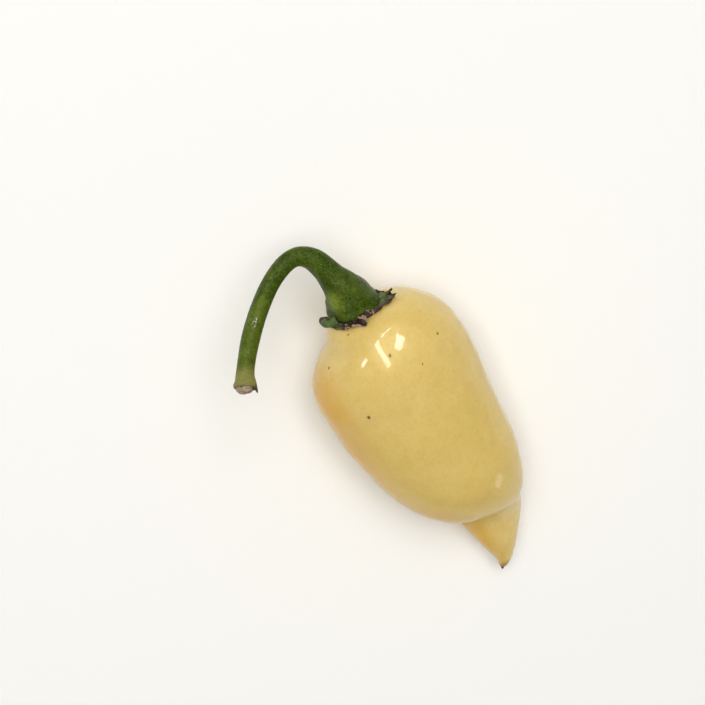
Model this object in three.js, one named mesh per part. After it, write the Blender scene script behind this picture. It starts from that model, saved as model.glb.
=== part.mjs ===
// A pale yellow chilli pepper as picked, lying on its side: a smooth blunt pod whose end folds over a short
// pointed tail, a small frilled calyx on its shoulder, and a long hooked stem with a flared, corky cut end.
// Millimetres, +Z up. X runs from the stem end to the tip; the origin is the middle of the flat resting spot.
import * as THREE from "three";
import { mergeVertices } from "three/addons/utils/BufferGeometryUtils.js";

const REST_FROM_SEAT = 27; // from the middle of the calyx seat to the resting spot, along X
const NEIGHBOUR_GAP = 0.35; // clearance between one piece and the next
const MERGE_WITHIN = 1e-4;
const CURVE_TENSION = 0.5;

const POD_SIDES = 56;
const POD_STEPS_PER_RING = 3;
const LOBES = 3; // the pod's chambers, which swell between shallow furrows
const LOBE_SWELL = 0.022; // share of the radius
const LOBE_TURN = 29; // degrees, so that one furrow runs down the upper side
const FOLD_ROW = 14.2; // the row of the table below where the pod's end folds over its tail
const FOLD_SPREAD = 0.8; // rows
const FOLD_DEPTH = 0.22; // share of the radius, where the fold is deepest
const FOLD_TURN = 125; // degrees from the +Y side over the top to the deepest part of the fold

const CALYX_SIDES = 84;
const CALYX_RINGS = 7;
const CALYX_THICKNESS = 0.75;
const FRILL_STARTS_AT = 0.72; // share of the calyx's reach where its margin begins to lift off the pod

const STEM_SIDES = 20;
const STEM_STEPS_PER_POINT = 2;
const STEM_ROOT_RADIUS = 5.3;
const ROOT_ENDS_AT = 0.25; // share of the stem's line over which it rises from the calyx onto that line
const SCAR_RADIUS_SHARE = 0.66; // the corky plug in the flared end, as a share of the flare's radius
const SCAR_HEIGHT = 0.9;
const SCAR_EDGE_DROP = 0.15; // how far the plug's edge lies below its middle

// The pod is a row of oval rings. Each has its centre (X from the calyx seat, Y, and Z from the surface), its
// half width and half height, and how many degrees its top and its +Y side lean towards the tip.
const POD_RINGS = [
  [0.0, -0.5, 19.0, 0.0, 0.0, 15, 8],
  [1.0, -0.4, 18.7, 5.6, 5.6, 11, 1],
  [3.5, 0.0, 17.9, 9.1, 9.1, 5, -8],
  [6.3, 0.4, 17.0, 12.2, 12.1, 6, -6],
  [10.0, 0.3, 16.1, 14.8, 14.2, 7, -4],
  [14.6, 0.4, 15.4, 15.9, 15.1, 7, -2],
  [20.4, 0.3, 14.8, 15.9, 15.1, 6, 0],
  [26.8, 0.0, 14.4, 15.5, 14.8, 4, 2],
  [33.2, 0.4, 13.9, 14.8, 14.2, 3, 4],
  [38.6, 0.8, 13.4, 14.0, 13.5, 3, 6],
  [42.8, 1.1, 12.8, 12.8, 12.5, 4, 8],
  [46.3, 1.7, 12.0, 11.2, 11.0, 6, 8],
  [49.0, 2.5, 10.9, 9.2, 9.3, 10, 8],
  [50.8, 3.1, 9.6, 7.7, 7.4, 16, 6],
  [51.9, 3.4, 8.4, 7.4, 6.0, 12, 4],
  [54.4, 3.2, 7.4, 7.0, 5.3, 4, 3],
  [58.2, 2.6, 6.9, 5.8, 4.7, 0, 0],
  [62.0, 1.7, 6.4, 4.0, 3.8, 0, 0],
  [65.2, 0.8, 6.0, 2.2, 2.3, 0, 0],
  [67.2, -0.1, 5.8, 0.9, 0.9, 0, 0],
  [67.8, -0.4, 5.7, 0.0, 0.0, 0, 0],
];

// The calyx's ragged margin: degrees round from the +Y side over the top, its reach from the middle, and how
// far its rim stands off the pod. Three long lobes lie on the upper side; the hidden side has smaller ones.
const CALYX_MARGIN = [
  [0, 7.6, 0.6],
  [14, 7.1, 0.2],
  [26, 7.9, 0.7],
  [40, 6.9, 0.3],
  [50, 6.3, 0.1],
  [60, 6.9, 0.6],
  [72, 7.4, 0.3],
  [84, 6.7, 0.7],
  [96, 7.0, 0.3],
  [108, 6.7, 0.6],
  [120, 6.3, 0.1],
  [134, 6.9, 0.4],
  [148, 7.3, 0.8],
  [162, 7.8, 1.1],
  [176, 7.6, 0.8],
  [190, 6.7, 0.2],
  [206, 6.9, 0.5],
  [224, 7.5, 0.3],
  [242, 6.8, 0.6],
  [260, 7.4, 0.3],
  [278, 6.7, 0.5],
  [296, 7.4, 0.2],
  [314, 6.9, 0.6],
  [330, 6.6, 0.2],
  [346, 7.1, 0.4],
];

// The stem's middle line from the calyx round its hook to the cut end: X, Y and Z as for the pod, and radius.
const STEM_LINE = [
  [0.0, -0.5, 19.0, STEM_ROOT_RADIUS],
  [-2.0, -0.5, 19.8, 4.5],
  [-4.0, -0.7, 20.4, 3.8],
  [-6.5, -1.1, 20.9, 3.0],
  [-9.5, -1.7, 21.2, 2.45],
  [-12.4, -2.8, 21.5, 2.2],
  [-14.2, -5.0, 22.0, 1.9],
  [-14.3, -7.8, 22.7, 1.8],
  [-12.9, -11.5, 24.0, 1.75],
  [-10.0, -15.9, 25.9, 1.75],
  [-6.6, -19.9, 28.2, 1.75],
  [-3.5, -22.8, 30.5, 1.65],
  [-1.9, -24.2, 31.7, 1.7],
  [-0.7, -25.2, 32.7, 2.2],
];

// A smooth curve through three columns of a table, and one through a single column.
function tableCurve(rows, first) {
  const points = rows.map((row) => new THREE.Vector3(...row.slice(first, first + 3)));
  return new THREE.CatmullRomCurve3(points, false, "catmullrom", CURVE_TENSION);
}

function columnCurve(rows, column) {
  return tableCurve(rows.map((row) => [row[column], 0, 0]), 0);
}

// The turn that leans a ring's top and its +Y side towards the tip, by degrees.
function ringLean(top, side) {
  const { degToRad } = THREE.MathUtils;
  return new THREE.Euler(0, degToRad(top), -degToRad(side), "ZYX");
}

function ringOf(sides, pointAt) {
  return Array.from({ length: sides }, (_, side) => pointAt((side / sides) * 2 * Math.PI));
}

// A closed solid from rings of points, with one point closing each end. The rings turn anticlockwise seen
// from the last point.
function skin(startPoint, rings, endPoint) {
  const sides = rings[0].length;
  const points = [startPoint, ...rings.flat(), endPoint];
  const last = points.length - 1;
  const at = (ring, side) => 1 + ring * sides + (side % sides);
  const faces = [];
  for (let side = 0; side < sides; side++) {
    faces.push(0, at(0, side), at(0, side + 1));
    for (let ring = 0; ring + 1 < rings.length; ring++) {
      faces.push(at(ring, side), at(ring + 1, side), at(ring + 1, side + 1));
      faces.push(at(ring, side), at(ring + 1, side + 1), at(ring, side + 1));
    }
    faces.push(last, at(rings.length - 1, side + 1), at(rings.length - 1, side));
  }
  const geometry = new THREE.BufferGeometry().setFromPoints(points);
  geometry.setIndex(faces);
  return mergeVertices(geometry, MERGE_WITHIN);
}

// The pod's skin, at a row number of its table and an angle round the ring, from the +Y side over the top.
const podCentres = tableCurve(POD_RINGS, 0);
const [podWidths, podHeights, podTopLeans, podSideLeans] = [3, 4, 5, 6].map((column) =>
  columnCurve(POD_RINGS, column),
);

function podSwell(row, angle) {
  const along = row / (POD_RINGS.length - 1);
  const lobe = Math.cos(LOBES * (angle - THREE.MathUtils.degToRad(LOBE_TURN)));
  const nearFold = Math.exp(-(((row - FOLD_ROW) / FOLD_SPREAD) ** 2));
  const foldSide = Math.max(0, Math.cos(angle - THREE.MathUtils.degToRad(FOLD_TURN)));
  return 1 + LOBE_SWELL * lobe * Math.sin(Math.PI * along) - FOLD_DEPTH * nearFold * foldSide;
}

function podPoint(row, angle) {
  const along = row / (POD_RINGS.length - 1);
  const swell = podSwell(row, angle);
  const across = podWidths.getPoint(along).x * swell * Math.cos(angle);
  const upwards = podHeights.getPoint(along).x * swell * Math.sin(angle);
  const lean = ringLean(podTopLeans.getPoint(along).x, podSideLeans.getPoint(along).x);
  const point = new THREE.Vector3(0, across, upwards).applyEuler(lean).add(podCentres.getPoint(along));
  return point.set(point.x - REST_FROM_SEAT, point.y, Math.max(point.z, 0));
}

function podGeometry() {
  const rings = [];
  for (let step = (POD_RINGS.length - 1) * POD_STEPS_PER_RING - 1; step > 0; step--) {
    rings.push(ringOf(POD_SIDES, (angle) => podPoint(step / POD_STEPS_PER_RING, angle)));
  }
  return skin(podPoint(POD_RINGS.length - 1, 0), rings, podPoint(0, 0));
}

// Points raised off the pod's shoulder, along the way that the calyx seat looks.
const seatOut = new THREE.Vector3(-1, 0, 0).applyEuler(ringLean(POD_RINGS[0][5], POD_RINGS[0][6]));
const SHOULDER_RADII = POD_RINGS.slice(0, 4).map((row) => row[3]);

function aboveShoulder(radius, angle, height) {
  const outer = SHOULDER_RADII.findIndex((ringRadius) => ringRadius > radius);
  const inner = outer - 1;
  const between = (radius - SHOULDER_RADII[inner]) / (SHOULDER_RADII[outer] - SHOULDER_RADII[inner]);
  return podPoint(inner + between, angle).addScaledVector(seatOut, height);
}

// The calyx: a thin green cap under the stem, whose dry margin stands in short lobes off the pod's skin.
const marginRows = [...CALYX_MARGIN, [360, ...CALYX_MARGIN[0].slice(1)]];
const SMALLEST_REACH = Math.min(...CALYX_MARGIN.map((row) => row[1]));

function marginAt(angle, column) {
  const degrees = THREE.MathUtils.radToDeg(angle);
  const next = Math.max(1, marginRows.findIndex((row) => row[0] >= degrees));
  const [before, after] = [marginRows[next - 1], marginRows[next]];
  const between = THREE.MathUtils.smoothstep(degrees, before[0], after[0]);
  return THREE.MathUtils.lerp(before[column], after[column], between);
}

function calyxPoint(share, angle, thickness) {
  const frill = THREE.MathUtils.smoothstep(share, FRILL_STARTS_AT, 1);
  const reach = THREE.MathUtils.lerp(SMALLEST_REACH, marginAt(angle, 1), frill);
  const lift = marginAt(angle, 2) * frill;
  return aboveShoulder(share * reach, angle, NEIGHBOUR_GAP + lift + thickness);
}

function calyxGeometry() {
  const rings = [];
  for (let ring = 1; ring <= CALYX_RINGS; ring++) {
    rings.push(ringOf(CALYX_SIDES, (angle) => calyxPoint(ring / CALYX_RINGS, angle, 0)));
  }
  for (let ring = CALYX_RINGS; ring > 0; ring--) {
    rings.push(ringOf(CALYX_SIDES, (angle) => calyxPoint(ring / CALYX_RINGS, angle, CALYX_THICKNESS)));
  }
  return skin(calyxPoint(0, 0, 0), rings, calyxPoint(0, 0, CALYX_THICKNESS));
}

// The stem: a round stalk that swells to a cone over the calyx and flares at its cut end round a corky plug.
function stemGeometry() {
  const rootHeight = 2 * NEIGHBOUR_GAP + CALYX_THICKNESS;
  const root = (radius) => ringOf(STEM_SIDES, (angle) => aboveShoulder(radius, angle, rootHeight));
  const line = tableCurve(STEM_LINE, 0);
  const radii = columnCurve(STEM_LINE, 3);
  const pointOnLine = (along) => {
    const point = line.getPoint(along);
    const rise = rootHeight * Math.max(0, 1 - along / ROOT_ENDS_AT);
    return point.setX(point.x - REST_FROM_SEAT).addScaledVector(seatOut, rise);
  };
  const steps = (STEM_LINE.length - 1) * STEM_STEPS_PER_POINT;
  const rings = [root(STEM_ROOT_RADIUS / 2), root(STEM_ROOT_RADIUS)];
  const side = new THREE.Vector3();
  const up = new THREE.Vector3(0, 0, 1);
  for (let step = 1; step <= steps; step++) {
    const along = step / steps;
    const ahead = line.getTangent(along);
    side.crossVectors(ahead, up).normalize();
    up.crossVectors(side, ahead).normalize();
    const radius = radii.getPoint(along).x;
    const spoke = (angle) =>
      pointOnLine(along)
        .addScaledVector(side, radius * Math.cos(angle))
        .addScaledVector(up, radius * Math.sin(angle));
    rings.push(ringOf(STEM_SIDES, spoke));
  }
  const flare = rings[rings.length - 1];
  const end = pointOnLine(1);
  const outwards = line.getTangent(1);
  for (const height of [0, SCAR_HEIGHT - SCAR_EDGE_DROP]) {
    const plugPoint = (point) => end.clone().lerp(point, SCAR_RADIUS_SHARE).addScaledVector(outwards, height);
    rings.push(flare.map(plugPoint));
  }
  return skin(aboveShoulder(0, 0, rootHeight), rings, end.addScaledVector(outwards, SCAR_HEIGHT));
}

function piece(name, geometry, color, roughness) {
  geometry.computeVertexNormals();
  const material = new THREE.MeshStandardMaterial({ color, roughness, metalness: 0 });
  const mesh = new THREE.Mesh(geometry, material);
  mesh.name = name;
  return mesh;
}

const pepper = new THREE.Group();
pepper.add(piece("pod", podGeometry(), 0xe0c673, 0.3));
pepper.add(piece("calyx", calyxGeometry(), 0x4f5a2a, 0.7));
pepper.add(piece("stem", stemGeometry(), 0x4a6b1e, 0.5));

export default pepper;
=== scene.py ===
import math
import bmesh
import bpy
from mathutils import Matrix, Vector, noise


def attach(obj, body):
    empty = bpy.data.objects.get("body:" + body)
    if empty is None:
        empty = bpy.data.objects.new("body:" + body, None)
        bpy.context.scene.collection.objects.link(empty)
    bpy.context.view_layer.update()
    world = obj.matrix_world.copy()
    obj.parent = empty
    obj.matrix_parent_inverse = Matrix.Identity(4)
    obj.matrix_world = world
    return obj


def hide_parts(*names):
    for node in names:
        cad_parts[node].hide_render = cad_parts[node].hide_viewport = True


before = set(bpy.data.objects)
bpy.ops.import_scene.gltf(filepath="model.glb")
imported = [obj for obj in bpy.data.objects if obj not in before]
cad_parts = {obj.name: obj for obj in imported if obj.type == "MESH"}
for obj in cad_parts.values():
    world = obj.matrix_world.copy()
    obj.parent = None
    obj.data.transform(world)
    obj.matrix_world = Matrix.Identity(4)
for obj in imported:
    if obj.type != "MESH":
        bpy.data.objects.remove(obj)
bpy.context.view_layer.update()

# The camera looks down on the pepper as in the photograph, from over the stem's side, turned so that the stem
# hooks to the left and the pod runs to the lower right. A long lens keeps its shape nearly flat.
AIM = Vector((-0.019656, -0.0050, 0.020968))
TOWARDS_CAMERA = Vector((-0.2588, 0, 0.9659))
CAMERA_DISTANCE = 0.3163
CAMERA_TILT = math.radians(-15)
CAMERA_ROLL = math.radians(60)
camera_data = bpy.data.cameras.new("camera")
camera_data.lens = 85
camera_data.sensor_width = 36
camera_data.clip_start = 0.01
camera = bpy.data.objects.new("camera", camera_data)
camera.location = AIM + CAMERA_DISTANCE * TOWARDS_CAMERA
camera_turn = Matrix.Rotation(CAMERA_TILT, 3, "Y") @ Matrix.Rotation(CAMERA_ROLL, 3, "Z")
camera.rotation_euler = camera_turn.to_euler()
bpy.context.collection.objects.link(camera)
bpy.context.scene.camera = camera
bpy.context.scene.view_settings.view_transform = "Standard"

# The floor: a plain sheet of matt, nearly white board that the pepper lies on. It is one flat plane, wide
# enough to fill every view.
FLOOR_SIDE = 6
FLOOR_WHITE = (0.95, 0.97, 1.0, 1)
bpy.ops.object.select_all(action="DESELECT")
bpy.ops.mesh.primitive_plane_add(size=FLOOR_SIDE)
floor = bpy.context.object
floor.name = "floor"
floor_paint = bpy.data.materials.new("pale_floor")
floor_paint.use_nodes = True
floor_shader = floor_paint.node_tree.nodes["Principled BSDF"]
floor_shader.inputs["Base Color"].default_value = FLOOR_WHITE
floor_shader.inputs["Roughness"].default_value = 0.9
floor_shader.inputs["Specular IOR Level"].default_value = 0.1
floor.data.materials.append(floor_paint)

# Soft studio light. One big lamp overhead lights everything but is never mirrored, five small ones are only
# mirrored, as windows that glint on the waxy skin, and a pale room fills in from all round.
KEY_WHITE = (1.0, 0.97, 0.91)
WINDOW_WHITE = (1.0, 0.99, 0.95)
ROOM_WHITE = (1.0, 0.96, 0.84, 1)
ROOM_STRENGTH = 0.30
WINDOW_DISTANCE = 1.0
# Name, direction from the pepper, width and height in metres, power in watts.
WINDOWS = [
    ["strip_lamp", (-0.46, -0.085, 0.88), 0.14, 0.80, 6.0],
    ["pane_lamp", (-0.39, 0.42, 0.82), 0.18, 0.26, 3.2],
    ["crown_lamp", (-0.73, 0.17, 0.66), 0.34, 0.05, 0.9],
    ["side_lamp", (-0.52, -0.60, 0.61), 0.13, 0.11, 1.0],
    ["low_lamp", (0.85, 0.50, 0.14), 0.22, 0.17, 0.35],
]


def add_lamp(name, direction, distance, width, height, power, colour):
    """A flat lamp that faces the pepper from the direction given."""
    lamp_data = bpy.data.lights.new(name, "AREA")
    lamp_data.shape = "RECTANGLE"
    lamp_data.size = width
    lamp_data.size_y = height
    lamp_data.energy = power
    lamp_data.color = colour
    lamp = bpy.data.objects.new(name, lamp_data)
    lamp.location = AIM + distance * Vector(direction).normalized()
    lamp.rotation_euler = Vector(direction).to_track_quat("Z", "Y").to_euler()
    bpy.context.collection.objects.link(lamp)
    return lamp


key_lamp = add_lamp(
    "key_lamp", (-0.32, 0.05, 0.94), distance=1.2, width=0.8, height=0.8, power=12.7, colour=KEY_WHITE
)
key_lamp.visible_glossy = False
for name, direction, width, height, power in WINDOWS:
    window = add_lamp(name, direction, WINDOW_DISTANCE, width, height, power, WINDOW_WHITE)
    window.visible_diffuse = False
room = bpy.data.worlds.new("room")
room.use_nodes = True
room.node_tree.nodes["Background"].inputs["Color"].default_value = ROOM_WHITE
room.node_tree.nodes["Background"].inputs["Strength"].default_value = ROOM_STRENGTH
bpy.context.scene.world = room

# The pod: one fruit in a closed waxy skin, whose blunt end folds over a short pointed tail. Rings of edges
# are joined into a skin from its stem end to its tip. Then its three lobes and the fold's crease are pressed
# in, the tail's root is raised beside the crease, and the whole is smoothed.
MM = 0.001
REST_FROM_SEAT = 27
POD_SIDES = 56
RINGS_PER_ROW = 3
LOBES = 3
LOBE_SWELL = 0.022
LOBE_TURN = math.radians(29)
# The crease: its row in the table, how far it spreads, how deep it is, which way it faces and how it fades.
FOLD_ROW = 13.55
FOLD_SPREAD = 0.7
FOLD_DEPTH = 0.27
FOLD_TURN = math.radians(128)
FOLD_EDGE = 0.3
FOLD_BLEND = 0.7
# The raised root of the tail, in the same way, with its height in millimetres.
FILL_ROW = 14.2
FILL_SPREAD = 1.15
FILL_HEIGHT = 1.7
FILL_TURN = math.radians(52)
FILL_EDGE = 0.68
FILL_BLEND = 0.32
UNEVEN_WAVE = 0.011
UNEVEN_HEIGHT = 0.0005
# Centre X from the calyx seat, Y, Z from the floor; half width; half height; degrees its top and side lean.
POD_ROWS = [
    [0.0, -0.5, 19.0, 0.0, 0.0, 15, 8],
    [1.0, -0.4, 18.7, 5.6, 5.6, 11, 1],
    [3.5, 0.6, 17.9, 9.1, 9.1, 5, -8],
    [6.3, 0.0, 17.0, 12.6, 12.1, 6, -6],
    [10.0, -0.1, 16.1, 15.2, 14.2, 7, -4],
    [14.6, 0.0, 15.4, 16.2, 15.1, 7, -2],
    [20.4, 0.1, 14.8, 16.1, 15.1, 6, 0],
    [26.8, 0.0, 14.4, 15.5, 14.8, 4, 2],
    [33.2, 0.4, 13.9, 14.8, 14.2, 3, 4],
    [38.6, 0.8, 13.4, 14.0, 13.5, 3, 6],
    [42.8, 1.1, 12.8, 12.8, 12.5, 4, 8],
    [46.3, 1.7, 12.0, 11.2, 11.0, 6, 8],
    [48.8, 2.4, 10.9, 9.5, 9.3, 10, 8],
    [50.5, 3.2, 9.6, 8.0, 7.3, 14, 5],
    [51.7, 3.5, 8.4, 7.5, 6.0, 10, 3],
    [54.4, 3.5, 7.4, 6.7, 5.3, 4, 3],
    [58.2, 3.0, 6.9, 5.4, 4.7, 0, 0],
    [62.0, 2.2, 6.4, 3.7, 3.8, 0, 0],
    [65.3, 1.5, 6.0, 2.1, 2.3, 0, 0],
    [67.2, 0.4, 5.8, 1.1, 1.1, 0, 0],
    [67.8, 0.0, 5.7, 0.0, 0.0, 0, 0],
]
LAST_POD_ROW = len(POD_ROWS) - 1


def row_at(rows, at):
    """The table's values at a row number, on a smooth curve through its rows."""
    last = len(rows) - 1
    first = min(int(max(at, 0)), last - 1)
    share = min(max(at, 0), last) - first
    values = []
    for column in range(len(rows[0])):
        here = rows[first][column]
        there = rows[first + 1][column]
        before = rows[first - 1][column] if first > 0 else 2 * here - there
        after = rows[first + 2][column] if first + 2 <= last else 2 * there - here
        leave = (there - before) / 2
        arrive = (after - here) / 2
        sway = 3 * there - 3 * here - 2 * leave - arrive
        bend = 2 * here - 2 * there + leave + arrive
        values.append(here + leave * share + sway * share**2 + bend * share**3)
    return values


def bump_at(distance, spread):
    """A smooth rise from 0 to 1 and back, one where the distance is nought."""
    return math.exp(-((distance / spread) ** 2))


def ease(share):
    """A smooth step from 0 to 1."""
    share = min(max(share, 0.0), 1.0)
    return share * share * (3 - 2 * share)


def pod_skin(row, angle):
    """A point of the pod's skin: angle runs from its +Y side over its top."""
    x, y, z, half_width, half_height, top_lean, side_lean = row_at(POD_ROWS, row)
    swell = 1 + LOBE_SWELL * math.cos(LOBES * (angle - LOBE_TURN)) * math.sin(math.pi * row / LAST_POD_ROW)
    fold_side = ease((math.cos(angle - FOLD_TURN) - FOLD_EDGE) / FOLD_BLEND)
    swell -= FOLD_DEPTH * bump_at(row - FOLD_ROW, FOLD_SPREAD) * fold_side
    lean = Matrix.Rotation(math.radians(-side_lean), 3, "Z") @ Matrix.Rotation(math.radians(top_lean), 3, "Y")
    across = half_width * swell * math.cos(angle)
    upwards = half_height * swell * math.sin(angle)
    point = lean @ Vector((0, across, upwards)) + Vector((x - REST_FROM_SEAT, y, z))
    fill_side = ease((math.cos(angle - FILL_TURN) - FILL_EDGE) / FILL_BLEND)
    point.z += FILL_HEIGHT * bump_at(row - FILL_ROW, FILL_SPREAD) * fill_side
    point.z = max(point.z, 0)
    return point * MM


def start_piece(name):
    """An empty piece at the origin, open for editing, with nothing else selected."""
    bpy.ops.object.select_all(action="DESELECT")
    piece = bpy.data.objects.new(name, bpy.data.meshes.new(name))
    bpy.context.collection.objects.link(piece)
    bpy.context.view_layer.objects.active = piece
    piece.select_set(True)
    bpy.ops.object.mode_set(mode="EDIT")
    return piece


def add_ring(sides, centre, radius, turn):
    """A ring of edges: its first corner lies up, the next ones towards its left side."""
    bpy.ops.mesh.select_all(action="DESELECT")
    bpy.ops.mesh.primitive_circle_add(vertices=sides, radius=radius, location=centre, rotation=turn)


def join_rings(piece, sides, count):
    """Bridges each ring to the next one, in the order in which they were added."""
    bpy.ops.mesh.select_mode(type="VERT")
    for ring in range(count - 1):
        bpy.ops.mesh.select_all(action="DESELECT")
        cage = bmesh.from_edit_mesh(piece.data)
        cage.verts.ensure_lookup_table()
        for corner in cage.verts[ring * sides:(ring + 2) * sides]:
            corner.select = True
        cage.select_flush(True)
        bmesh.update_edit_mesh(piece.data)
        bpy.ops.mesh.bridge_edge_loops()


def close_end(piece, first, sides, tip):
    """Fills one ring, from its first corner's number, with a fan whose middle moves to the tip."""
    bpy.ops.mesh.select_mode(type="VERT")
    bpy.ops.mesh.select_all(action="DESELECT")
    bpy.ops.object.mode_set(mode="OBJECT")
    for corner in piece.data.vertices[first:first + sides]:
        corner.select = True
    bpy.ops.object.mode_set(mode="EDIT")
    bpy.ops.mesh.edge_face_add()
    bpy.ops.mesh.poke()
    bpy.ops.object.mode_set(mode="OBJECT")
    piece.data.vertices[-1].co = tip
    bpy.ops.object.mode_set(mode="EDIT")


def finish_mesh(piece, levels):
    """Turns the faces outwards, smooths the mesh and shades it smooth."""
    bpy.ops.mesh.select_all(action="SELECT")
    bpy.ops.mesh.normals_make_consistent(inside=False)
    bpy.ops.object.mode_set(mode="OBJECT")
    if levels:
        smooth = piece.modifiers.new("smooth", "SUBSURF")
        smooth.levels = levels
        smooth.render_levels = levels
        bpy.ops.object.modifier_apply(modifier="smooth")
    bpy.ops.object.shade_smooth()


pod = start_piece("pod_skin")
pod_rows = [step / RINGS_PER_ROW for step in range(1, LAST_POD_ROW * RINGS_PER_ROW)]
for row in pod_rows:
    x, y, z, half_width, half_height, top_lean, side_lean = row_at(POD_ROWS, row)
    centre = Vector((x - REST_FROM_SEAT, y, z)) * MM
    add_ring(POD_SIDES, centre, MM, (math.pi / 2, 0, math.pi / 2))
    bpy.ops.transform.resize(value=(1, half_width, half_height), center_override=centre)
    bpy.ops.transform.rotate(value=-math.radians(top_lean), orient_axis="Y", center_override=centre)
    bpy.ops.transform.rotate(value=math.radians(side_lean), orient_axis="Z", center_override=centre)
join_rings(pod, POD_SIDES, len(pod_rows))
close_end(pod, 0, POD_SIDES, pod_skin(0, 0))
close_end(pod, (len(pod_rows) - 1) * POD_SIDES, POD_SIDES, pod_skin(LAST_POD_ROW, 0))
bpy.ops.object.mode_set(mode="OBJECT")
for index, row in enumerate(pod_rows):
    for side in range(POD_SIDES):
        angle = math.pi / 2 + 2 * math.pi * side / POD_SIDES
        pod.data.vertices[index * POD_SIDES + side].co = pod_skin(row, angle)
bpy.ops.object.mode_set(mode="EDIT")
finish_mesh(pod, 2)
unevenness = bpy.data.textures.new("unevenness", "CLOUDS")
unevenness.noise_scale = UNEVEN_WAVE
unevenness.noise_depth = 1
press = pod.modifiers.new("press", "DISPLACE")
press.texture = unevenness
press.texture_coords = "LOCAL"
press.strength = UNEVEN_HEIGHT
press.mid_level = 0.5
bpy.ops.object.modifier_apply(modifier="press")
for corner in pod.data.vertices:
    corner.co.z = max(corner.co.z, 0)


def add_node(tree, kind, inputs=None, **settings):
    """One shader node: each input is a value or another node's output."""
    made = tree.nodes.new("ShaderNode" + kind)
    for name, value in settings.items():
        setattr(made, name, value)
    for name, value in (inputs or {}).items():
        if isinstance(value, bpy.types.NodeSocket):
            tree.links.new(value, made.inputs[name])
        else:
            made.inputs[name].default_value = value
    return made


def new_finish(name):
    """A material with its tree, its main shader and its object coordinates."""
    material = bpy.data.materials.new(name)
    material.use_nodes = True
    tree = material.node_tree
    place = add_node(tree, "TexCoord").outputs["Object"]
    return material, tree, tree.nodes["Principled BSDF"], place


def noise_of(tree, place, scale, detail=2.0, roughness=0.5):
    """Soft noise: the scale is how many of its waves fit in a metre."""
    settings = {"Vector": place, "Scale": scale, "Detail": detail, "Roughness": roughness}
    return add_node(tree, "TexNoise", settings).outputs["Fac"]


def between(tree, value, low, high, to_low=0.0, to_high=1.0):
    """Maps a value from one range to another, smoothly, and stops at its ends."""
    made = add_node(tree, "MapRange", {"Value": value}, interpolation_type="SMOOTHSTEP")
    made.inputs["From Min"].default_value = low
    made.inputs["From Max"].default_value = high
    made.inputs["To Min"].default_value = to_low
    made.inputs["To Max"].default_value = to_high
    return made.outputs["Result"]


def mix_colours(tree, share, first, second):
    """A blend of two colours."""
    made = add_node(tree, "Mix", {0: share, 6: first, 7: second}, data_type="RGBA")
    return made.outputs[2]


def calculate(tree, operation, first, second=0.0):
    """One sum of two numbers."""
    return add_node(tree, "Math", {0: first, 1: second}, operation=operation).outputs[0]


def distance_to(tree, place, spot):
    """How far each point lies from one spot, in metres."""
    return add_node(tree, "VectorMath", {0: place, 1: spot}, operation="DISTANCE").outputs["Value"]


def add_relief(tree, shader, height, strength, distance):
    """Fine relief, which bends the light on the surface."""
    relief = add_node(tree, "Bump", {"Height": height, "Strength": strength, "Distance": distance})
    tree.links.new(relief.outputs["Normal"], shader.inputs["Normal"])


waxy_skin, tree, shader, place = new_finish("waxy_skin")
CREAM = (0.72, 0.560, 0.195, 1)
BOUNCE_AND_SHADE_GOLD = (0.70, 0.38, 0.004, 1)
PALE = (0.78, 0.62, 0.27, 1)
TAN = (0.62, 0.44, 0.12, 1)
DEEP_TAN = (0.52, 0.36, 0.09, 1)
SPECK_BROWN = (0.10, 0.055, 0.006, 1)
TIP_BROWN = (0.16, 0.08, 0.02, 1)
# Painted shade and painted warm bounce light: the skin turns gold low down and along its left side, in soft
# clouds.
spread_out = add_node(tree, "SeparateXYZ", {"Vector": place}).outputs
low_side = between(tree, spread_out["Z"], 0.010, 0.002)
left_edge = between(tree, spread_out["X"], 0.008, 0.026, -0.0158, -0.0038)
left_side = between(tree, calculate(tree, "SUBTRACT", spread_out["Y"], left_edge), 0.0068, 0.0006)
painted_shade_and_bounce = calculate(tree, "MAXIMUM", low_side, left_side)
clouding = between(tree, noise_of(tree, place, scale=110, detail=3), 0.3, 0.7, 0.65, 1.0)
painted_shade_and_bounce = calculate(tree, "MULTIPLY", painted_shade_and_bounce, clouding)
# It is paler in places, and lighter near the shoulder and the tail as painted light, but not under the
# painted gold shade.
paleness_and_painted_light = between(tree, noise_of(tree, place, scale=75, detail=2), 0.42, 0.7, 0.0, 0.55)
# Painted light: lighter towards the shoulder and towards the tail.
paleness_and_painted_light = calculate(tree, "ADD", paleness_and_painted_light, between(tree, spread_out["X"], -0.004, -0.014, 0.0, 0.30))
paleness_and_painted_light = calculate(tree, "ADD", paleness_and_painted_light, between(tree, spread_out["X"], 0.020, 0.028, 0.0, 0.45))
paleness_and_painted_light = calculate(tree, "MULTIPLY", paleness_and_painted_light, between(tree, painted_shade_and_bounce, 0.7, 0.2))
skin_colour = mix_colours(tree, paleness_and_painted_light, CREAM, PALE)
mottling = noise_of(tree, place, scale=420, detail=4, roughness=0.6)
skin_colour = mix_colours(tree, between(tree, mottling, 0.35, 0.75, 0.0, 0.28), skin_colour, TAN)
# The painted gold shade and bounce light go over the skin's colour here.
skin_colour = mix_colours(tree, painted_shade_and_bounce, skin_colour, BOUNCE_AND_SHADE_GOLD)
fine_mottling = noise_of(tree, place, scale=1500, detail=4, roughness=0.7)
skin_colour = mix_colours(tree, between(tree, fine_mottling, 0.45, 0.70, 0.0, 0.20), skin_colour, DEEP_TAN)
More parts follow.
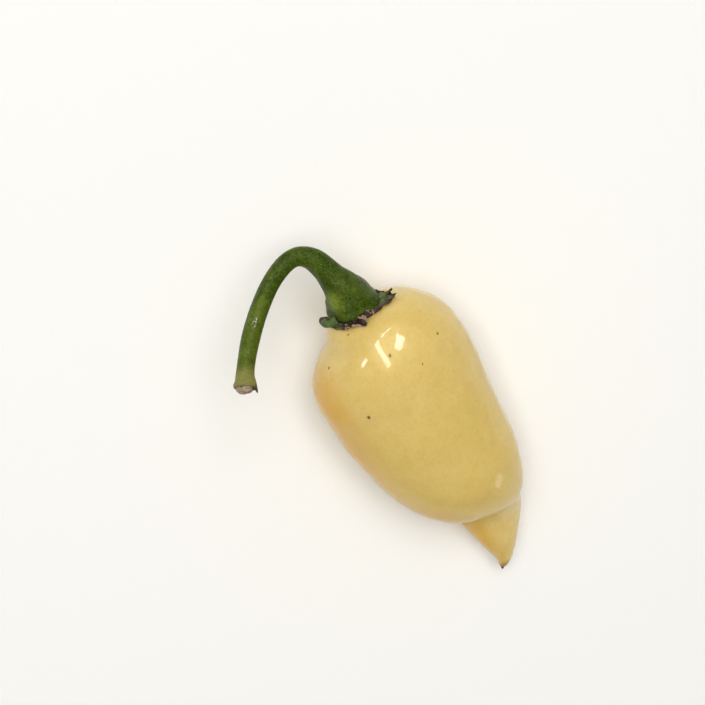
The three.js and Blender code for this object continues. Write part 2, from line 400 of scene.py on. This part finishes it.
# Small brown specks, each a place on the skin and a radius in millimetres, and a few fine ones all over.
SPECKS = [
    [-19.69, -10.35, 22.40, 0.34],
    [-17.81, 0.76, 29.49, 0.30],
    [-16.06, 10.55, 26.45, 0.26],
    [-9.03, -8.47, 28.02, 0.36],
    [-23.99, -4.09, 24.40, 0.24],
    [-13.22, 5.26, 29.41, 0.20],
    [-2.0, 14.9, 19.0, 0.32],
    [4.0, -12.5, 9.0, 0.30],
    [9.5, 11.8, 8.5, 0.26],
]
RAGGEDNESS = 0.0006
ragged = calculate(tree, "SUBTRACT", noise_of(tree, place, scale=2600, detail=2), 0.5)
ragged = calculate(tree, "MULTIPLY", ragged, RAGGEDNESS)
speckled = 0.0
for x, y, z, radius in SPECKS:
    away = calculate(tree, "ADD", distance_to(tree, place, (x * MM, y * MM, z * MM)), ragged)
    speckled = calculate(tree, "MAXIMUM", speckled, between(tree, away, radius * MM * 1.3, radius * MM * 0.4))
cells = add_node(tree, "TexVoronoi", {"Vector": place, "Scale": 190.0})
cell_shade = add_node(tree, "SeparateColor", {0: cells.outputs["Color"]}).outputs[0]
chosen = calculate(tree, "GREATER_THAN", cell_shade, 0.8)
fine_specks = between(tree, cells.outputs["Distance"], 0.045, 0.02, 0.0, 0.5)
fine_specks = calculate(tree, "MULTIPLY", fine_specks, chosen)
speckled = calculate(tree, "MAXIMUM", calculate(tree, "MULTIPLY", speckled, 0.93), fine_specks)
skin_colour = mix_colours(tree, speckled, skin_colour, SPECK_BROWN)
at_tip = between(tree, spread_out["X"], 0.0385, 0.0402, 0.0, 0.75)
skin_colour = mix_colours(tree, at_tip, skin_colour, TIP_BROWN)
tree.links.new(skin_colour, shader.inputs["Base Color"])
shader.inputs["Roughness"].default_value = 0.38
shader.inputs["Subsurface Weight"].default_value = 0.25
shader.inputs["Subsurface Radius"].default_value = (1.0, 0.55, 0.18)
shader.inputs["Subsurface Scale"].default_value = 0.003
shader.inputs["Specular Tint"].default_value = (1.0, 0.88, 0.62, 1)
shader.inputs["Coat Weight"].default_value = 0.5
shader.inputs["Coat Roughness"].default_value = 0.06
shader.inputs["Coat Tint"].default_value = (1.0, 0.93, 0.72, 1)
# Its relief is soft waves, ripples and a fine grain, with a puckered patch above the fold.
PUCKER_MIDDLE = (0.0165, 0.0068, 0.0234)
waves = noise_of(tree, place, scale=240, detail=2)
grain = noise_of(tree, place, scale=2600, detail=2)
ripples = noise_of(tree, place, scale=750, detail=3, roughness=0.6)
near_fold = between(tree, distance_to(tree, place, PUCKER_MIDDLE), 0.0075, 0.0015, 0.0, 1.3)
puckered = calculate(tree, "MULTIPLY", noise_of(tree, place, scale=1300, detail=2), near_fold)
surface = calculate(tree, "ADD", waves, calculate(tree, "MULTIPLY", grain, 0.04))
surface = calculate(tree, "ADD", surface, calculate(tree, "MULTIPLY", ripples, 0.62))
surface = calculate(tree, "ADD", surface, puckered)
add_relief(tree, shader, surface, strength=0.3, distance=0.0004)
pod.data.materials.append(waxy_skin)
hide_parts("pod")
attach(pod, "root")

# The dried remains of the flower's style: a tiny dark stub, hard and brittle, on the very tip of the tail. It
# is a row of small round edges joined into a skin, and bends up a little towards its end.
STUB_SIDES = 12
STUB_ROOT = Vector((39.5, -0.15, 5.9))
STUB_TIP = Vector((40.68, -0.4, 6.6))
STUB_DARK = (0.03, 0.016, 0.008, 1)
STUB_BROWN = (0.16, 0.09, 0.04, 1)
# Each ring's place along X and its radius.
STUB_RINGS = [[39.6, 0.42], [39.95, 0.40], [40.2, 0.30], [40.4, 0.33], [40.6, 0.22]]
style_stub = start_piece("style_stub")
for number, (x, radius) in enumerate(STUB_RINGS):
    stub_centre = Vector((x, -0.15 - 0.05 * number, 5.9 + 0.04 * number**2)) * MM
    add_ring(STUB_SIDES, stub_centre, radius * MM, (math.pi / 2, 0, math.pi / 2))
join_rings(style_stub, STUB_SIDES, len(STUB_RINGS))
close_end(style_stub, 0, STUB_SIDES, STUB_ROOT * MM)
close_end(style_stub, STUB_SIDES * (len(STUB_RINGS) - 1), STUB_SIDES, STUB_TIP * MM)
finish_mesh(style_stub, 2)
dried_stub, tree, shader, place = new_finish("dried_stub")
stub_colour = mix_colours(tree, noise_of(tree, place, scale=3000, detail=2), STUB_DARK, STUB_BROWN)
tree.links.new(stub_colour, shader.inputs["Base Color"])
shader.inputs["Roughness"].default_value = 0.7
style_stub.data.materials.append(dried_stub)
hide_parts("pod")
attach(style_stub, "root")

# The stem: a tough green stalk that swells to a cone over the calyx, hooks round to one side and flares to a
# collar at its cut end. It is a row of round edges joined into a skin.
STEM_SIDES = 40
RINGS_PER_POINT = 4
# How far the cone's foot is lifted off the seat, and the share of the stem over which the lift fades.
STEM_LIFT = 1.45
LIFT_ENDS_AT = 0.25
# Middle line X from the calyx seat, Y, Z from the floor, and radius.
STEM_ROWS = [
    [0.0, -0.5, 19.0, 4.85],
    [-2.0, -0.5, 19.8, 4.35],
    [-4.0, -0.7, 20.4, 3.7],
    [-6.5, -1.1, 20.9, 3.0],
    [-9.5, -1.7, 21.2, 2.45],
    [-12.4, -2.8, 21.5, 2.2],
    [-14.2, -5.0, 22.0, 1.9],
    [-14.3, -7.8, 22.7, 1.8],
    [-12.9, -11.5, 24.0, 1.75],
    [-10.0, -15.9, 25.9, 1.75],
    [-6.6, -19.9, 28.2, 1.75],
    [-3.45, -22.8, 30.3, 1.65],
    [-1.8, -24.1, 31.3, 1.72],
    [-0.5, -24.82, 32.1, 2.15],
]
# Rings under the first row, by their distance from it along the seat's axis, with their radius.
BASE_RINGS = [[-2.35, 4.2], [-2.1, 4.85], [-1.8, 5.2], [-1.4, 5.38], [-0.95, 5.32], [-0.45, 5.1]]
# Rings of the collar's rim and of the hollow that its corky scar fills.
COLLAR_RINGS = [[0.4, 2.2], [0.7, 2.22], [0.78, 2.08], [0.65, 1.9], [0.1, 1.75]]
seat_lean = Matrix.Rotation(math.radians(-8), 3, "Z") @ Matrix.Rotation(math.radians(15), 3, "Y")
SEAT_OUT = seat_lean @ Vector((-1, 0, 0))
COLLAR_RIGHT = Vector((0.483, 0.866, 0.129))
LAST_STEM_ROW = len(STEM_ROWS) - 1
# The rings face along the seat's axis at first, and along the middle line from this row on.
FACES_AHEAD_FROM = 2.2
NEARBY = 0.02


def stem_place(row):
    """A point of the stem's middle line and its radius, in metres."""
    x, y, z, radius = row_at(STEM_ROWS, row)
    lift = STEM_LIFT * max(0, 1 - row / LAST_STEM_ROW / LIFT_ENDS_AT)
    return (Vector((x - REST_FROM_SEAT, y, z)) + lift * SEAT_OUT) * MM, radius * MM


stem = start_piece("stem_stalk")
stem_rings = []
up = Vector((0, 0, 1))
for step in range(LAST_STEM_ROW * RINGS_PER_POINT + 1):
    row = step / RINGS_PER_POINT
    centre, radius = stem_place(row)
    ahead = stem_place(min(row + NEARBY, LAST_STEM_ROW))[0] - stem_place(max(row - NEARBY, 0))[0]
    ahead = SEAT_OUT.lerp(ahead.normalized(), ease(row / FACES_AHEAD_FROM)).normalized()
    side = up.cross(ahead).normalized()
    up = ahead.cross(side).normalized()
    stem_rings.append([row, centre, radius, side, up, ahead])
row, centre, _, side, up, collar_ahead = stem_rings[-1]
for offset, radius in COLLAR_RINGS:
    collar_centre = centre + collar_ahead * offset * MM
    stem_rings.append([row + 0.1, collar_centre, radius * MM, side, up, collar_ahead])
_, centre, _, side, up, ahead = stem_rings[0]
stem_rings = [
    [0, centre + ahead * offset * MM, radius * MM, side, up, ahead] for offset, radius in BASE_RINGS
] + stem_rings
for _, centre, radius, side, up, ahead in stem_rings:
    turn = Matrix((side, up, ahead)).transposed()
    add_ring(STEM_SIDES, centre, radius, turn.to_euler())
join_rings(stem, STEM_SIDES, len(stem_rings))
close_end(stem, 0, STEM_SIDES, stem_rings[0][1])
close_end(stem, (len(stem_rings) - 1) * STEM_SIDES, STEM_SIDES, stem_rings[-1][1])
bpy.ops.object.mode_set(mode="OBJECT")
# Heights of the ridges and lumps are shares of the radius, and the rest is in millimetres.
CONE_RIDGE = 0.035
STALK_RIDGE = 0.02
LUMP = 0.05
RIM_RAGGEDNESS = 0.09
RIM_WAVE = 0.45
COLLAR_SLOPE = 0.22
FLAP_LENGTH = 0.75
COLLAR_WAVE = 0.12
for index, (row, centre, _, _, _, ahead) in enumerate(stem_rings):
    for number in range(STEM_SIDES):
        corner = stem.data.vertices[index * STEM_SIDES + number]
        angle = math.pi / 2 + 2 * math.pi * number / STEM_SIDES
        spoke = corner.co - centre
        # Uneven ridges run down the cone, and fade to a faintly angular stalk.
        cone_share = bump_at(row - 0.4, 2.6)
        ridges = math.cos(5 * angle + 0.7 + 0.1 * row) + 0.6 * math.cos(8 * angle + 2.0)
        stalk_ridges = STALK_RIDGE * math.cos(4 * angle + 0.25 * row) * (1 - cone_share)
        swelling = CONE_RIDGE * ridges * cone_share + stalk_ridges
        lumps = noise.noise(Vector((math.cos(angle) * 1.3, math.sin(angle) * 1.3, row * 0.9)))
        rim_share = bump_at(index - 3, 2.5)
        rim_wave = noise.noise(Vector((math.cos(angle) * 4, math.sin(angle) * 4, 7.3)))
        corner.co = centre + spoke * (1 + swelling + LUMP * lumps + RIM_RAGGEDNESS * rim_wave * rim_share)
        corner.co += SEAT_OUT * rim_share * RIM_WAVE * rim_wave * MM
        # The collar's rim slopes and hangs lower in a torn flap on one side.
        if row > LAST_STEM_ROW - 0.3:
            sideways = spoke.normalized().dot(COLLAR_RIGHT)
            flap = ease((sideways - 0.86) / 0.13)
            hang = COLLAR_SLOPE * sideways + FLAP_LENGTH * flap + COLLAR_WAVE * rim_wave
            corner.co += ahead * hang * ease((row - LAST_STEM_ROW + 0.3) / 0.4) * MM
bpy.ops.object.mode_set(mode="EDIT")
finish_mesh(stem, 2)


def height_over(tree, place, spot, axis):
    """How far each point lies from a spot along an axis, in metres."""
    from_spot = add_node(tree, "VectorMath", {0: place, 1: spot}, operation="SUBTRACT").outputs["Vector"]
    along = add_node(tree, "VectorMath", {0: from_spot, 1: tuple(axis)}, operation="DOT_PRODUCT")
    return along.outputs["Value"]


green_stalk, tree, shader, place = new_finish("green_stalk")
DARK_GREEN = (0.014, 0.034, 0.003, 1)
MID_GREEN = (0.062, 0.106, 0.003, 1)
LIGHT_GREEN = (0.150, 0.205, 0.018, 1)
DOT_GREEN = (0.24, 0.30, 0.10, 1)
PATCH_GREEN = (0.22, 0.29, 0.035, 1)
OLIVE_COLLAR = (0.26, 0.25, 0.075, 1)
LIP_BROWN = (0.15, 0.11, 0.05, 1)
FOOT_SHADE_GREEN = (0.012, 0.018, 0.004, 1)
PALE_PATCH = (-0.0305, -0.0042, 0.0236)
WAXY_SPOT = (-0.0361, -0.0180, 0.0286)
SEAT_MIDDLE = (-0.027, -0.0005, 0.019)
COLLAR_MIDDLE = tuple(stem_place(LAST_STEM_ROW)[0])
# Fine dark mottles, with lighter patches that spread down the stalk, and darker ones.
mottles = between(tree, noise_of(tree, place, scale=2200, detail=5, roughness=0.8), 0.38, 0.62)
stalk_colour = mix_colours(tree, mottles, DARK_GREEN, MID_GREEN)
across_stalk = add_node(tree, "SeparateXYZ", {"Vector": place}).outputs["Y"]
lower_stalk = between(tree, across_stalk, -0.009, -0.020, 0.0, 0.30)
patches = between(tree, noise_of(tree, place, scale=330, detail=4), 0.45, 0.8, 0.0, 0.45)
stalk_colour = mix_colours(tree, calculate(tree, "ADD", patches, lower_stalk), stalk_colour, LIGHT_GREEN)
darkening = noise_of(tree, place, scale=620, detail=4, roughness=0.65)
stalk_colour = mix_colours(tree, between(tree, darkening, 0.52, 0.72, 0.0, 0.6), stalk_colour, DARK_GREEN)
# Light dots all over, and one pale patch on the cone.
dots = add_node(tree, "TexVoronoi", {"Vector": place, "Scale": 2000.0}).outputs["Distance"]
stalk_colour = mix_colours(tree, between(tree, dots, 0.30, 0.1, 0.0, 0.26), stalk_colour, DOT_GREEN)
pale_patch = between(tree, distance_to(tree, place, PALE_PATCH), 0.0034, 0.0008)
pale_patch = calculate(tree, "MULTIPLY", pale_patch, between(tree, mottles, 0.0, 1.0, 0.5, 1.0))
stalk_colour = mix_colours(tree, pale_patch, stalk_colour, PATCH_GREEN)
# The collar is olive and its lip dried brown, and the cone's foot is darkened with painted shade where it
# turns under.
collar_share = between(tree, distance_to(tree, place, COLLAR_MIDDLE), 0.0042, 0.0016)
collar_share = calculate(tree, "MULTIPLY", collar_share, between(tree, mottles, 0.0, 0.6, 0.55, 0.95))
stalk_colour = mix_colours(tree, collar_share, stalk_colour, OLIVE_COLLAR)
past_collar = height_over(tree, place, COLLAR_MIDDLE, collar_ahead)
dried_lip = between(tree, past_collar, 0.00045, 0.00080, 0.0, 0.75)
stalk_colour = mix_colours(tree, dried_lip, stalk_colour, LIP_BROWN)
# Painted shade where the cone's foot turns under towards the seat.
over_seat = height_over(tree, place, SEAT_MIDDLE, SEAT_OUT)
painted_foot_shade = between(tree, over_seat, 0.0006, -0.0001, 0.0, 0.85)
stalk_colour = mix_colours(tree, painted_foot_shade, stalk_colour, FOOT_SHADE_GREEN)
tree.links.new(stalk_colour, shader.inputs["Base Color"])
shader.inputs["Roughness"].default_value = 0.42
shader.inputs["Specular IOR Level"].default_value = 0.15
shader.inputs["Specular Tint"].default_value = (1.0, 1.0, 0.7, 1)
# One waxy spot on the stalk glints.
near_spot = between(tree, distance_to(tree, place, WAXY_SPOT), 0.0015, 0.0006)
broken_wax = between(tree, noise_of(tree, place, scale=2200, detail=2), 0.4, 0.55)
tree.links.new(calculate(tree, "MULTIPLY", near_spot, broken_wax), shader.inputs["Coat Weight"])
shader.inputs["Coat Roughness"].default_value = 0.22
pores = noise_of(tree, place, scale=1700, detail=4, roughness=0.65)
add_relief(tree, shader, pores, strength=0.55, distance=0.00025)
stem.data.materials.append(green_stalk)
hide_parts("stem")
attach(stem, "root")

# The cut end's scar: a rough, dry, corky plug that stands a little out of the collar. It is a row of
# round edges joined into a skin, which is then roughened all over.
SCAR_SIDES = 28
# Each ring's distance past the collar's middle and its radius.
SCAR_RINGS = [[0.05, 1.5], [0.6, 1.62], [1.1, 1.6], [1.45, 1.42], [1.6, 0.95], [1.58, 0.45]]
SCAR_FOOT = 0.05
SCAR_TOP = 1.54
SCAR_SHIFT = 0.22
PIT_DEPTH = 0.13
SIDE_ROUGHNESS = 0.14
scar = start_piece("stem_scar")
_, centre, _, side, up, ahead = stem_rings[-1 - len(COLLAR_RINGS)]
scar_turn = Matrix((side, up, ahead)).transposed().to_euler()
scar_middle = centre - COLLAR_RIGHT * SCAR_SHIFT * MM
for offset, radius in SCAR_RINGS:
    add_ring(SCAR_SIDES, scar_middle + ahead * offset * MM, radius * MM, scar_turn)
join_rings(scar, SCAR_SIDES, len(SCAR_RINGS))
close_end(scar, 0, SCAR_SIDES, scar_middle + ahead * SCAR_FOOT * MM)
close_end(scar, SCAR_SIDES * (len(SCAR_RINGS) - 1), SCAR_SIDES, scar_middle + ahead * SCAR_TOP * MM)
finish_mesh(scar, 2)
for corner in scar.data.vertices:
    depth = noise.noise(corner.co * 1400) + 0.6 * noise.noise(corner.co * 3200)
    corner.co += ahead * depth * PIT_DEPTH * MM
    corner.co += (corner.co - scar_middle).normalized() * noise.noise(corner.co * 900) * SIDE_ROUGHNESS * MM
corky_scar, tree, shader, place = new_finish("corky_scar")
CORK_DARK = (0.11, 0.065, 0.04, 1)
CORK_TAN = (0.50, 0.38, 0.29, 1)
CORK_PALE = (0.62, 0.50, 0.38, 1)
pits = between(tree, noise_of(tree, place, scale=2300, detail=5, roughness=0.7), 0.36, 0.56)
cork_colour = mix_colours(tree, pits, CORK_DARK, CORK_TAN)
pale_cork = between(tree, noise_of(tree, place, scale=500, detail=2), 0.5, 0.7, 0.0, 0.6)
cork_colour = mix_colours(tree, pale_cork, cork_colour, CORK_PALE)
tree.links.new(cork_colour, shader.inputs["Base Color"])
shader.inputs["Roughness"].default_value = 0.9
shader.inputs["Specular IOR Level"].default_value = 0.2
add_relief(tree, shader, pits, strength=0.7, distance=0.0002)
scar.data.materials.append(corky_scar)
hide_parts("stem")
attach(scar, "root")

# The calyx: the thin green cap that grows between stem and pod. Its margin is dry, brown and crinkled and
# curls off the skin in lobes, and a second crinkled frill lies over it on two sides. Each is a ring of leafy
# strips, run out from under the cone over the pod's shoulder, and then given its thickness.
CALYX_SIDES = 240
CALYX_STEPS = 14
CALYX_INNER = 4.9
CRINKLES_ROUND = 29
# Degrees round from the +Y side over the top; length from under the cone; degrees it rises off the skin and
# curls on from there; how strongly it is crinkled; how dry it is.
CALYX_ROWS = [
    [0, 1.5, 2, 20, 0.20, 0.75],
    [12, 2.3, 4, 15, 0.25, 0.72],
    [24, 3.2, 4, 10, 0.30, 0.74],
    [38, 3.0, 3, 15, 0.35, 0.72],
    [48, 2.0, 2, 20, 0.20, 0.68],
    [56, 1.1, 0, 10, 0.10, 0.55],
    [64, 1.9, 6, 60, 0.40, 0.95],
    [76, 2.4, 8, 70, 0.50, 1.0],
    [86, 2.5, 8, 50, 0.45, 1.0],
    [92, 3.1, 4, 20, 0.35, 1.0],
    [98, 2.5, 8, 60, 0.50, 1.0],
    [112, 2.2, 8, 70, 0.50, 1.0],
    [124, 1.7, 4, 50, 0.30, 0.9],
    [134, 1.0, 0, 10, 0.10, 0.5],
    [160, 1.0, 0, 10, 0.10, 0.3],
    [190, 1.1, 0, 15, 0.10, 0.4],
    [215, 1.5, 4, 30, 0.25, 0.8],
    [230, 2.3, 8, 50, 0.45, 0.9],
    [246, 1.6, 4, 40, 0.35, 0.9],
    [270, 2.5, 10, 60, 0.50, 0.9],
    [290, 1.7, 4, 40, 0.30, 0.8],
    [312, 1.3, 0, 20, 0.15, 0.8],
    [330, 1.1, 0, 20, 0.15, 0.7],
    [346, 1.1, 0, 20, 0.15, 0.7],
    [360, 1.5, 2, 20, 0.20, 0.75],
]
FRILL_ROWS = [
    [0, 0.4, 0, 0, 0.0, 0.4],
    [56, 0.4, 0, 0, 0.0, 0.4],
    [64, 1.4, 6, 75, 0.35, 0.9],
    [90, 1.7, 6, 80, 0.50, 1.0],
    [118, 1.4, 6, 75, 0.40, 1.0],
    [128, 0.4, 0, 0, 0.0, 0.4],
    [215, 0.4, 0, 0, 0.0, 0.4],
    [240, 1.4, 6, 75, 0.40, 0.9],
    [280, 1.4, 6, 75, 0.40, 0.9],
    [300, 0.4, 0, 0, 0.0, 0.4],
    [360, 0.4, 0, 0, 0.0, 0.4],
]
SHOULDER_RADII = [0.0, 5.6, 9.1, 12.5]


def table_round(rows, angle):
    """A round table's values at an angle, eased from one row to the next."""
    degrees = math.degrees(angle) % 360
    after = max(1, next(index for index, values in enumerate(rows) if values[0] >= degrees))
    low, high = rows[after - 1], rows[after]
    share = ease((degrees - low[0]) / (high[0] - low[0]))
    return [first + (second - first) * share for first, second in zip(low, high)]


def shoulder_point(radius, angle):
    """A point of the pod's shoulder, so far from the seat's middle, in millimetres."""
    outer = next(index for index, value in enumerate(SHOULDER_RADII) if value > radius)
    inner = outer - 1
    share = (radius - SHOULDER_RADII[inner]) / (SHOULDER_RADII[outer] - SHOULDER_RADII[inner])
    return pod_skin(inner + share, angle) / MM


def over_shoulder(radius, angle, height):
    """A point raised off the pod's shoulder, square to its skin, in millimetres."""
    base = shoulder_point(radius, angle)
    outwards = shoulder_point(radius + 0.2, angle) - base
    sideways = shoulder_point(radius, angle + 0.05) - base
    normal = outwards.cross(sideways).normalized()
    if normal.dot(SEAT_OUT) < 0:
        normal = -normal
    return base + normal * height


def calyx_strip(rows, angle, seed, start_height):
    """The points of the calyx from under the cone to its margin, at one angle round the seat."""
    length, rise, curl, crinkle, dryness = table_round(rows, angle)[1:]
    around = Vector((math.cos(angle), math.sin(angle), 0))
    length *= 1 + 0.16 * noise.noise(around * 8 + Vector((0, 0, seed)))
    drift = 2.5 * noise.noise(around * 3 + Vector((0, 0, seed + 3)))
    wave = math.sin(CRINKLES_ROUND * angle + drift + seed)
    swing = math.cos(CRINKLES_ROUND * angle + drift + seed + 0.5)
    step = length / CALYX_STEPS
    out = 0.0
    height = start_height
    points = []
    for number in range(CALYX_STEPS + 1):
        share = number / CALYX_STEPS
        turned = angle + 0.06 * crinkle * swing * share**2
        lifted = max(0.2, height + 0.8 * crinkle * wave * share**1.6)
        points.append(over_shoulder(CALYX_INNER + out, turned, lifted))
        slope = math.radians(rise + curl * share**1.5)
        out += step * math.cos(slope)
        height += step * math.sin(slope)
    return points, dryness


def add_wall(sheet, thickness):
    """Gives a sheet its thickness and smooths it."""
    wall = sheet.modifiers.new("wall", "SOLIDIFY")
    wall.thickness = thickness * MM
    wall.offset = 0
    bpy.ops.object.modifier_apply(modifier="wall")
    bpy.ops.object.mode_set(mode="EDIT")
    finish_mesh(sheet, 1)


def make_calyx_layer(name, rows, seed, start_height, thickness):
    """One leafy ring of the calyx, from rings of edges joined into a sheet, with a wall."""
    layer = start_piece(name)
    middle = Vector((-REST_FROM_SEAT, 0, 19)) * MM
    for ring in range(CALYX_STEPS + 1):
        add_ring(CALYX_SIDES, middle, (CALYX_INNER + 0.2 * ring) * MM, (math.pi / 2, 0, math.pi / 2))
    join_rings(layer, CALYX_SIDES, CALYX_STEPS + 1)
    bpy.ops.object.mode_set(mode="OBJECT")
    dry_share = layer.data.attributes.new("dryness", "FLOAT", "POINT")
    for number in range(CALYX_SIDES):
        angle = math.pi / 2 + 2 * math.pi * number / CALYX_SIDES
        points, dryness = calyx_strip(rows, angle, seed, start_height)
        dry_power = 0.7 + 4 * (1 - dryness)
        for ring, point in enumerate(points):
            layer.data.vertices[ring * CALYX_SIDES + number].co = point * MM
            dry_share.data[ring * CALYX_SIDES + number].value = dryness * (ring / CALYX_STEPS) ** dry_power
    bpy.ops.object.mode_set(mode="EDIT")
    bpy.ops.mesh.select_all(action="SELECT")
    bpy.ops.mesh.normals_make_consistent(inside=False)
    bpy.ops.object.mode_set(mode="OBJECT")
    add_wall(layer, thickness)
    return layer


calyx = make_calyx_layer("calyx_cap", CALYX_ROWS, seed=1.7, start_height=0.25, thickness=0.26)
frill = make_calyx_layer("calyx_frill", FRILL_ROWS, seed=5.1, start_height=0.45, thickness=0.22)
dry_leaf, tree, shader, place = new_finish("dry_leaf")
LEAF_GREEN = (0.050, 0.090, 0.016, 1)
LEAF_LIGHT = (0.10, 0.15, 0.04, 1)
OLIVE = (0.125, 0.135, 0.055, 1)
BROWN = (0.060, 0.032, 0.016, 1)
PINKISH = (0.47, 0.33, 0.23, 1)
DRY_TIP_AND_SHADE_DARK = (0.016, 0.009, 0.005, 1)
# Green where it is fresh, and olive and brown as it dries towards its margin. The nearly black band there is
# partly dark dried tips and partly painted shade in the gaps between the crinkles.
dryness = add_node(tree, "Attribute", attribute_name="dryness").outputs["Fac"]
leaf_mottle = between(tree, noise_of(tree, place, scale=900, detail=4), 0.35, 0.7)
leaf_colour = mix_colours(tree, leaf_mottle, LEAF_GREEN, LEAF_LIGHT)
leaf_colour = mix_colours(tree, between(tree, dryness, 0.15, 0.5), leaf_colour, OLIVE)
leaf_colour = mix_colours(tree, between(tree, dryness, 0.5, 0.75), leaf_colour, BROWN)
# Dark dried tips together with painted shade between the crinkles.
leaf_colour = mix_colours(tree, between(tree, dryness, 0.66, 0.80, 0.0, 0.6), leaf_colour, DRY_TIP_AND_SHADE_DARK)
# Pale pinkish lines run along the crinkles of the driest margin: partly pale dry tissue and partly painted
# highlights where the crinkles' edges catch the light.
crinkles = calculate(tree, "SUBTRACT", noise_of(tree, place, scale=430, detail=2), 0.5)
crinkles = calculate(tree, "ABSOLUTE", crinkles)
# Pale dry tissue together with painted highlights on the crinkles' edges.
margin = calculate(tree, "MULTIPLY", between(tree, dryness, 0.78, 0.90), between(tree, crinkles, 0.06, 0.02))
leaf_colour = mix_colours(tree, margin, leaf_colour, PINKISH)
tree.links.new(leaf_colour, shader.inputs["Base Color"])
shader.inputs["Roughness"].default_value = 0.6
shader.inputs["Specular IOR Level"].default_value = 0.35
crumple = noise_of(tree, place, scale=1800, detail=3, roughness=0.6)
add_relief(tree, shader, crumple, strength=0.6, distance=0.0002)


def dress_leaf(leaf):
    """Gives a leafy piece the calyx's finish and its place in the model."""
    leaf.data.materials.append(dry_leaf)
    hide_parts("calyx")
    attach(leaf, "root")


dress_leaf(calyx)
dress_leaf(frill)

# One lobe of the calyx: a leafy edge that has rolled into a green sleeve and stands off the shoulder, open
# and dark at its tip. It is a flat grid rolled round a curved spine, and then given its thickness.
LOBE_STEPS = 16
LOBE_ARC_STEPS = 16
GRID_SIDE = 2 * MM
LOBE_ROLL = math.radians(290)
LOBE_RADIUS = 0.80
LOBE_WALL = 0.3
lobe_root = over_shoulder(4.4, math.radians(142), 1.0)
lobe_middle = over_shoulder(6.0, math.radians(160), 1.2)
lobe_tip = over_shoulder(5.3, math.radians(176), 1.9)
lobe = start_piece("calyx_lobe")
bpy.ops.mesh.primitive_grid_add(x_subdivisions=LOBE_STEPS, y_subdivisions=LOBE_ARC_STEPS, size=GRID_SIDE)
bpy.ops.object.mode_set(mode="OBJECT")
dry_share = lobe.data.attributes.new("dryness", "FLOAT", "POINT")
for corner in lobe.data.vertices:
    along = corner.co.x / GRID_SIDE + 0.5
    round_share = corner.co.y / GRID_SIDE
    tip_edge = 0.14 * noise.noise(Vector((round_share * 9, 2.0, 4.0)))
    along = along * (1 + tip_edge)
    spine = lobe_root * (1 - along) ** 2 + lobe_middle * 2 * along * (1 - along) + lobe_tip * along**2
    ahead = ((lobe_middle - lobe_root) * (1 - along) + (lobe_tip - lobe_middle) * along).normalized()
    outwards = (SEAT_OUT - SEAT_OUT.dot(ahead) * ahead).normalized()
    across = ahead.cross(outwards)
    flare = 0.16 * ease((along - 0.85) / 0.15)
    radius = LOBE_RADIUS + 0.10 * math.sin(9 * along + 1) - 0.1 * along + flare
    turn = LOBE_ROLL * round_share + 0.3
    ridge = 1 + 0.06 * math.cos(5 * turn + 2 * along)
    dry_share.data[corner.index].value = 0.12 + 0.6 * ease((along - 0.66) / 0.2)
    corner.co = (spine + (outwards * math.cos(turn) + across * math.sin(turn)) * radius * ridge) * MM
add_wall(lobe, LOBE_WALL)
dress_leaf(lobe)

# A torn scrap of the calyx's dry margin, which stands by itself over the flap on the other side. It is a
# small flat grid, waved and bent over the shoulder, and then given its thickness.
SCRAP_STEPS = 12
SCRAP_ROWS = 6
SCRAP_WALL = 0.28
scrap = start_piece("calyx_scrap")
bpy.ops.mesh.primitive_grid_add(x_subdivisions=SCRAP_STEPS, y_subdivisions=SCRAP_ROWS, size=GRID_SIDE)
bpy.ops.object.mode_set(mode="OBJECT")
dry_share = scrap.data.attributes.new("dryness", "FLOAT", "POINT")
for corner in scrap.data.vertices:
    along = corner.co.x / GRID_SIDE + 0.5
    across = corner.co.y / GRID_SIDE
    width = 1.0 + 0.5 * math.sin(11 * along)
    turn = math.radians(15 + 10 * across * width - 4 * along)
    height = 0.45 + 0.6 * along + 0.3 * math.sin(8 * along + 4 * across)
    dry_share.data[corner.index].value = 0.35 + 0.45 * along
    corner.co = over_shoulder(5.0 + 2.2 * along, turn, height) * MM
add_wall(scrap, SCRAP_WALL)
dress_leaf(scrap)
